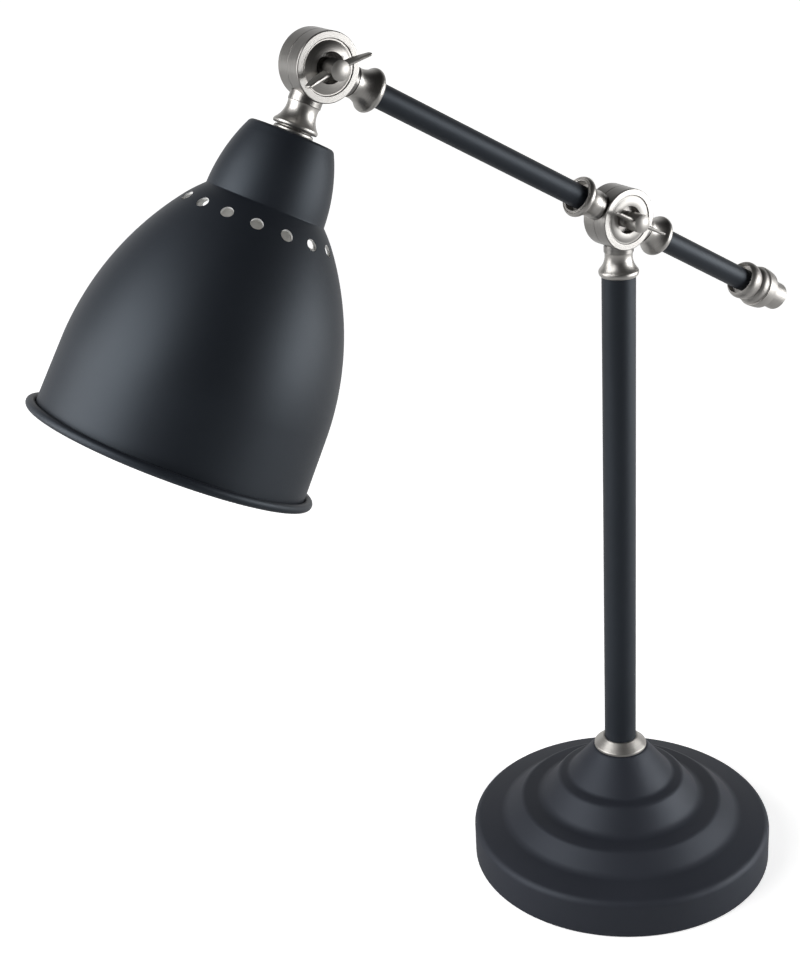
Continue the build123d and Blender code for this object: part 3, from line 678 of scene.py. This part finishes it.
def wing_screw(name, centre, angle, body, node, neck_finish):
    """Screw with a threaded neck, a knob with a crowned end, and two wings at an angle to the level."""
    crown, brow, seat, thread_gap = half_w + knob_crown, half_w + knob_brow, cup_floor + 0.05, 0.5
    line = rounded([(0, screw_end), (screw_r, screw_end), (screw_r, seat), (screw_neck_r, seat),
                    (screw_neck_r, half_w + screw_neck_end), (knob_r, half_w + knob_start), (knob_r, brow)],
                   [0.4, 0.1, 0.2, 0.5, 0.6])
    line += arc_from((0, crown), (1, 0), (knob_r, brow), 16)[::-1][1:] + [(0, crown)]
    bm = bmesh.new()
    turn(bm, line, centre, front, finishes=[int(q[1] <= brow) for q in line[1:]])
    reach = Vector((math.cos(math.radians(angle)), 0, math.sin(math.radians(angle))))
    add_leaf(bm, centre, reach)
    add_leaf(bm, centre, -reach)
    ridges = run_tree(screw_thread, bpy.data.meshes.new("thread_start"), {
        "Radius": 3.9 * MM, "Pitch": 1.0 * MM, "Turns": 4.0, "Ridge": 0.42 * MM, "Sides": 6, "Finish": neck_finish})
    for polygon in ridges.polygons:
        polygon.material_index = 1
    ridges.transform(on_axis(centre + front * (seat + thread_gap) * MM, front))
    bm.from_mesh(ridges)
    finish_piece(bm, name, body, [node], [cast_nickel, neck_finish])


def make_knuckles():
    mid_rise, head_rise, mid_wing_deg, head_wing_deg = 0.3, 2.0, -29.0, 16.5
    front_drum("mid_drum_front", mid_hinge, -up, "base", "mid_knuckle_front")
    front_drum("head_drum_front", head_hinge, shade_dir, "head", "head_knuckle_front")
    back_drum("mid_drum_back", mid_hinge, [arm_dir, -arm_dir], "mid_knuckle_back")
    back_drum("head_drum_back", head_hinge, [arm_dir], "head_knuckle_back")
    # The two washers take one nickel in two brightnesses set to the light on each: painted light on the head washer,
    # painted shade on the mid one
    crowned_washer("mid_crown", mid_hinge, mid_rise, "base", "mid_cup_washer", cup_nickel_painted_shade)
    crowned_washer("head_crown", head_hinge, head_rise, "head", "head_cup_washer", cup_nickel_painted_light)
    wing_screw("mid_wing_turned", mid_hinge, mid_wing_deg, "mid_wing", "mid_wing_screw", bright_nickel)
    # The head screw's barrel and thread take the darkened nickel, as painted shade; the mid screw keeps the bright
    # nickel
    wing_screw("head_wing_turned", head_hinge, head_wing_deg, "head_wing", "head_wing_screw", barrel_nickel_painted_shade)


# Shade of spun sheet, painted outside and white inside, with a rolled bead and a ring of vents

def shade_outside():
    """Outside of the shade, from the hole in its top to the root of its bead."""
    crown, crease = (dome_top_r, shade_top), (crease_r, crease_at)
    middle = ((dome_top_r + crease_r) / 2 + dome_bulge, (shade_top + crease_at) / 2)
    dome = [crown] + arc_through(crown, middle, crease, 28)
    middle = ((crease_r + cone_r) / 2 + cone_bulge, (crease_at + cone_at) / 2)
    cone = [crease] + arc_through(crease, middle, (cone_r, cone_at), 20)
    brow = rounded([(rod_fit_r, shade_top), crown, dome[4]], dome_round, 8)
    fold = rounded([dome[-3], crease, cone[2]], 0.8, 6)
    bell = arc_from(cone[-1], Vector(cone[-1]) - Vector(cone[-2]), (bell_r, bell_at), 60)
    root_at = bead_at - math.sqrt(bead_r ** 2 - (bead_turn_r - mouth_r) ** 2)
    root_r = bell_r + (mouth_r - bell_r) * (root_at - bell_at) / (mouth_at - bell_at)
    return brow[:-1] + dome[4:-3] + fold + cone[3:] + bell + [(root_r, root_at)]


def skin(outside, station, depth=0.0):
    """Point of the shade's sheet at a station, set in from the outside by a depth."""
    for low, high in zip(outside, outside[1:]):
        if low[1] <= station <= high[1] and high[1] > low[1]:
            share = (station - low[1]) / (high[1] - low[1])
            along = (Vector(high) - Vector(low)).normalized()
            return (low[0] + (high[0] - low[0]) * share - along.y * depth, station + along.x * depth)


def vent_slice(outside, low, high):
    """One slice of the vented band about the axis +Z: both skins round one hole, and the wall of the hole."""
    above, below = skin(outside, vent_at - vent_r), skin(outside, vent_at + vent_r)
    slope = math.atan2(below[0] - above[0], below[1] - above[1])
    turn_r = skin(outside, vent_at)[0]
    wide, per_side = math.tau / vent_count, STEPS // vent_count
    middle = math.radians(vent_phase)

    def place(angle, station, depth):
        radius, at = skin(outside, station, depth)
        return Vector((radius * math.cos(angle), radius * math.sin(angle), at)) * MM

    left, right, border = middle - wide / 2, middle + wide / 2, []
    corners = [(left, low), (right, low), (right, high), (left, high), (left, low)]
    for a, b in zip(corners, corners[1:]):
        for k in range(per_side):
            border.append((a[0] + (b[0] - a[0]) * k / per_side, a[1] + (b[1] - a[1]) * k / per_side))
    hole = []
    for angle, station in border:
        aim = math.atan2((station - vent_at) / math.cos(slope), (angle - middle) * turn_r)
        hole.append((middle + vent_r * math.cos(aim) / turn_r, vent_at + vent_r * math.sin(aim) * math.cos(slope)))
    bm = bmesh.new()
    edges = []
    for depth, number in ((0.0, 0), (shade_sheet, 1)):
        rings = []
        for share in (0.0, 0.35, 0.65, 0.86, 1.0):
            rings.append([bm.verts.new(place(b[0] + (h[0] - b[0]) * share, b[1] + (h[1] - b[1]) * share, depth))
                          for b, h in zip(border, hole)])
        for k in range(len(rings) - 1):
            join_rings(bm, rings[k], rings[k + 1], 0, 1, number)
        edges.append(rings[-1])
    join_rings(bm, edges[0], edges[1], 0, 1, 1)
    mesh = bpy.data.meshes.new("vent_slice")
    bm.to_mesh(mesh)
    bm.free()
    marks = mesh.attributes.new("inside", "BOOLEAN", "FACE")
    for polygon in mesh.polygons:
        marks.data[polygon.index].value = polygon.material_index == 1
    return mesh


def make_shade():
    outside = shade_outside()
    band_above, band_below, bead_steps = 4.0, 3.6, 40
    low, high = vent_at - band_above, vent_at + band_below
    upper = [p for p in outside if p[1] < low] + [skin(outside, low)]
    lower = [skin(outside, high)] + [p for p in outside if p[1] > high]
    start = math.radians(vent_phase - 180 / vent_count)
    bm = bmesh.new()

    # Dome and crease, down to the vented band
    half = len(upper)
    sheet = pressed_sheet(upper, shade_sheet)
    sheet[half] = skin(outside, low, shade_sheet)
    turn(bm, sheet, head_hinge, shade_dir, start=start, finishes=[0] * (half - 1) + [None] + [1] * (half - 1))

    # Bell, bead and lining below the band
    lining = pressed_sheet(lower, shade_sheet)[len(lower):]
    lining[-1] = skin(outside, high, shade_sheet)
    from_angle = math.atan2(lower[-1][1] - bead_at, lower[-1][0] - bead_turn_r)
    to_angle = math.pi - math.asin((mouth_at - bead_at) / bead_r)
    bead = []
    for k in range(1, bead_steps + 1):
        a = from_angle + (to_angle - from_angle) * k / bead_steps
        bead.append((bead_turn_r + bead_r * math.cos(a), bead_at + bead_r * math.sin(a)))
    end = rounded([bead[-1], (mouth_r - shade_sheet, mouth_at), lining[0]], 0.4)[1:-1]
    outline = lower + bead + end + lining
    painted = len(lower) + len(bead) - 1
    turn(bm, outline, head_hinge, shade_dir, start=start, closed=False,
         finishes=[0] * painted + [1] * (len(outline) - 1 - painted))

    # Vented band
    band = run_tree(vent_ring, vent_slice(outside, low, high), {
        "Count": vent_count, "Outside": charcoal_paint, "Inside": white_lining})
    band.transform(on_axis(head_hinge, shade_dir))
    inside = [mark.value for mark in band.attributes["inside"].data]
    for polygon in band.polygons:
        polygon.material_index = int(inside[polygon.index])
    bm.from_mesh(band)
    bmesh.ops.remove_doubles(bm, verts=bm.verts, dist=2e-6)
    finish_piece(bm, "bell_shade", "head", ["shade"], [charcoal_paint, white_lining])


# Lampholder under the shade top

def make_lampholder():
    cap_at, dome_at, skirt_at, body_at, body_end = 37.1, 40.1, 49.1, 56.1, 82.1
    holder_r, cap_neck_r, cap_bore_r, cap_roof, cap_gap = 19.0, 8.5, 17.0, 3.0, 0.2
    spigot_r, spigot_bore_r, spigot_h, body_bore_r, body_rim = 16.95, 14.95, 6.0, 13.95, 3.0
    groove_count, groove_pitch, groove_r, groove_wall, groove_floor = 3, 5.0, 18.4, 0.4, 1.0
    shell_r, shell_bore_r, shell_hole_r, shell_h, shell_sheet, thread_at = 13.9, 13.3, 6.5, 22.0, 0.6, 2.0
    line = rounded([(rod_fit_r, cap_at), (cap_neck_r, cap_at), (cap_neck_r, dome_at)], 0.4)
    line += arc_from((holder_r, skirt_at), (0, -1), (cap_neck_r, dome_at), 18)[::-1][1:] + [(holder_r, skirt_at)]
    line += rounded([(holder_r, skirt_at), (holder_r, body_at - cap_gap), (cap_bore_r, body_at - cap_gap),
                     (cap_bore_r, skirt_at), (cap_neck_r, dome_at + cap_roof), (rod_fit_r, dome_at + cap_roof)],
                    [0.4, 0.2, 0.5, 0.3])[1:]
    turned_piece("holder_cap", line, head_hinge, shade_dir, "head", "lampholder_cap", holder_plastic)
    body = [(spigot_bore_r, body_at - spigot_h), (spigot_r, body_at - spigot_h), (spigot_r, body_at),
            (holder_r, body_at), (holder_r, body_at + body_rim)]
    for k in range(groove_count):
        at = body_at + groove_pitch * (k + 1)
        floor_end = at + groove_wall + groove_floor
        body += [(holder_r, at), (groove_r, at + groove_wall), (groove_r, floor_end),
                 (holder_r, floor_end + groove_wall)]
    body += [(holder_r, body_end), (body_bore_r, body_end), (body_bore_r, body_at), (spigot_bore_r, body_at)]
    turned_piece("holder_body", rounded_loop(body, 0.18), head_hinge, shade_dir, "head", "lampholder_body",
                 holder_plastic)
    shell = rounded_loop([(shell_hole_r, body_at), (shell_r, body_at), (shell_r, body_at + shell_h),
                          (shell_bore_r, body_at + shell_h), (shell_bore_r, body_at + shell_sheet),
                          (shell_hole_r, body_at + shell_sheet)], 0.2)
    bm = bmesh.new()
    turn(bm, shell, head_hinge, shade_dir, steps=96)
    rolled = run_tree(screw_thread, bpy.data.meshes.new("socket_start"), {
        "Radius": 13.35 * MM, "Pitch": 3.62 * MM, "Turns": 5.2, "Ridge": 0.55 * MM, "Sides": 8, "Finish": drawn_brass})
    rolled.transform(on_axis(head_hinge + shade_dir * (body_at + thread_at) * MM, shade_dir))
    bm.from_mesh(rolled)
    finish_piece(bm, "holder_shell", "head", ["lampholder_shell"], [drawn_brass])


vent_ring = vent_ring_tree()
screw_thread = thread_tree()
make_base()
make_collars()
make_arm()
make_knuckles()
make_shade()
make_lampholder()


# Camera at the photograph's angle: degrees, pixels of the photograph and millimetres

camera_turn, camera_rise, camera_roll = -31.076, 23.72, -3.36
focal_px, photo_px, sensor_mm = 1749.8, 954, 36.0
camera_place = Vector((-553.25, -685.99, 633.63))


def heading(turn_deg, rise_deg):
    """Direction at a turn about the stem, from the front, and a rise from the level."""
    a, e = math.radians(turn_deg), math.radians(rise_deg)
    return Vector((math.sin(a) * math.cos(e), -math.cos(a) * math.cos(e), math.sin(e)))


def make_camera():
    """Sets the camera and gives back the direction from the lamp towards it."""
    azimuth, roll = math.radians(camera_turn), math.radians(camera_roll)
    back = heading(camera_turn, camera_rise)
    right = Vector((math.cos(azimuth), math.sin(azimuth), 0))
    above = back.cross(right)
    turned_right = right * math.cos(roll) + above * math.sin(roll)
    turned_above = above * math.cos(roll) - right * math.sin(roll)
    data = bpy.data.cameras.new("photo_camera")
    data.sensor_width = sensor_mm
    data.lens = focal_px * sensor_mm / photo_px
    data.clip_start, data.clip_end = 0.01, 100.0
    camera = bpy.data.objects.new("photo_camera", data)
    facing = Matrix((turned_right, turned_above, back)).transposed().to_4x4()
    camera.matrix_world = Matrix.Translation(camera_place * MM) @ facing
    scene.collection.objects.link(camera)
    scene.camera = camera
    return back


# Pale floor, soft boxes and a white surround

def make_floor(away):
    """White cloth, bright to the camera. Reflections see it dimmer, and brightest behind the lamp and to its right."""
    size, height, bright_turn, dimming = 6.0, -0.0002, math.radians(-30), 0.52
    finish = bpy.data.materials.new("pale_floor")
    finish.use_nodes = True
    tree = finish.node_tree
    tree.nodes.clear()
    cloth = put(tree, "ShaderNodeBsdfDiffuse")
    glow = put(tree, "ShaderNodeEmission", {"Color": (1, 1, 1, 1)})
    both = put(tree, "ShaderNodeAddShader")
    out = put(tree, "ShaderNodeOutputMaterial")
    where = put(tree, "ShaderNodeTexCoord")
    path = put(tree, "ShaderNodeLightPath")
    distance = put(tree, "ShaderNodeVectorMath", operation="LENGTH")
    seen = ranged(tree, (0.25, 2.2), (0.56, 1.0))
    bright_side = Matrix.Rotation(bright_turn, 3, "Z") @ away
    behind = put(tree, "ShaderNodeVectorMath", {1: bright_side}, operation="DOT_PRODUCT")
    mirrored = ranged(tree, (-0.12, 0.5), (0.1, 0.6))
    far = put(tree, "ShaderNodeVectorMath", {1: away}, operation="DOT_PRODUCT")
    sweep = ranged(tree, (0.7, 1.4), (0.0, 0.6))
    reflected = maths(tree, "MAXIMUM")
    mirror = maths(tree, "MAXIMUM")
    mirror_part = maths(tree, "MULTIPLY")
    level = maths(tree, "MULTIPLY_ADD")
    grain = put(tree, "ShaderNodeTexNoise", {"Scale": 30.0})
    dimmed = maths(tree, "MULTIPLY_ADD", {1: -dimming, 2: 1.0})
    weave = put(tree, "ShaderNodeVectorMath", operation="SCALE")
    wire(tree, (path, "Is Glossy Ray", mirror, 0), (path, "Is Transmission Ray", mirror, 1))

    # Glow: one level for the camera, another for reflections, none for other rays
    for measure, spread in ((distance, seen), (behind, mirrored), (far, sweep)):
        wire(tree, (where, "Object", measure, 0), (measure, "Value", spread, "Value"))
    wire(tree, (mirrored, 0, reflected, 0), (sweep, 0, reflected, 1), (reflected, 0, mirror_part, 0),
         (mirror, 0, mirror_part, 1), (seen, 0, level, 0), (path, "Is Camera Ray", level, 1),
         (mirror_part, 0, level, 2), (level, 0, glow, "Strength"))

    # Cloth: a faint weave, darker in reflections
    tree.links.new(mixed(tree, grain.outputs[0], (0.91, 0.91, 0.91), (0.93, 0.93, 0.93)), weave.inputs[0])
    wire(tree, (mirror, 0, dimmed, 0), (dimmed, 0, weave, "Scale"), (weave, 0, cloth, "Color"), (cloth, 0, both, 0),
         (glow, 0, both, 1), (both, 0, out, "Surface"))
    mesh = bpy.data.meshes.new("floor")
    mesh.from_pydata([(-size, -size, height), (size, -size, height), (size, size, height), (-size, size, height)],
                     [], [(0, 1, 2, 3)])
    mesh.materials.append(finish)
    floor = bpy.data.objects.new("floor", mesh)
    scene.collection.objects.link(floor)


def soft_box(name, turn_deg, rise_deg, size, watts, aim=(-0.1, 0, 0.25), spread_deg=180):
    """Soft box at a distance from its aim, turned from the camera's side (left is negative) and raised."""
    distance = 1.5
    toward = heading(turn_deg + camera_turn, rise_deg)
    data = bpy.data.lights.new(name, "AREA")
    data.shape = "RECTANGLE"
    data.size, data.size_y = size
    data.energy = watts
    data.spread = math.radians(spread_deg)
    lamp = bpy.data.objects.new(name, data)
    facing = toward.to_track_quat("Z", "Y").to_matrix().to_4x4()
    lamp.matrix_world = Matrix.Translation(Vector(aim) + toward * distance) @ facing
    scene.collection.objects.link(lamp)


def make_light(away):
    """White backdrop behind the lamp, dark studio above it and on the camera's side, and soft boxes."""
    world = bpy.data.worlds.new("white_backdrop")
    scene.world = world
    world.use_nodes = True
    tree = world.node_tree
    shade = tree.nodes["Background"]
    shade.inputs["Color"].default_value = (1, 1, 1, 1)
    where = tree.nodes.new("ShaderNodeTexCoord")
    split = tree.nodes.new("ShaderNodeSeparateXYZ")
    behind = put(tree, "ShaderNodeVectorMath", {1: away}, operation="DOT_PRODUCT")
    side = ranged(tree, (0.45, 0.88), (0.02, 1.0), interpolation_type="SMOOTHSTEP")
    height = ranged(tree, (0.05, 0.6), (1.0, 0.45), interpolation_type="SMOOTHSTEP")
    wall = maths(tree, "MULTIPLY")
    path = tree.nodes.new("ShaderNodeLightPath")
    level = maths(tree, "MAXIMUM")
    wire(tree, (where, "Generated", behind, 0), (where, "Generated", split, 0), (behind, "Value", side, "Value"),
         (split, "Z", height, "Value"), (side, 0, wall, 0), (height, 0, wall, 1), (wall, 0, level, 0),
         (path, "Is Camera Ray", level, 1), (level, 0, shade, "Strength"))
    soft_box("left_high_box", turn_deg=-66, rise_deg=38, size=(1.3, 0.75), watts=16.5)
    soft_box("left_low_box", turn_deg=-78, rise_deg=8, size=(1.5, 0.75), watts=15.5)
    soft_box("right_box", turn_deg=84, rise_deg=4, size=(1.4, 0.75), watts=18.8)
    soft_box("base_box", turn_deg=80, rise_deg=22, size=(0.3, 0.3), watts=0.085, aim=(0.02, 0, 0.03), spread_deg=14)


back = make_camera()
away = Vector((-back.x, -back.y, 0)).normalized()
make_floor(away)
make_light(away)
scene.view_settings.view_transform = "Standard"
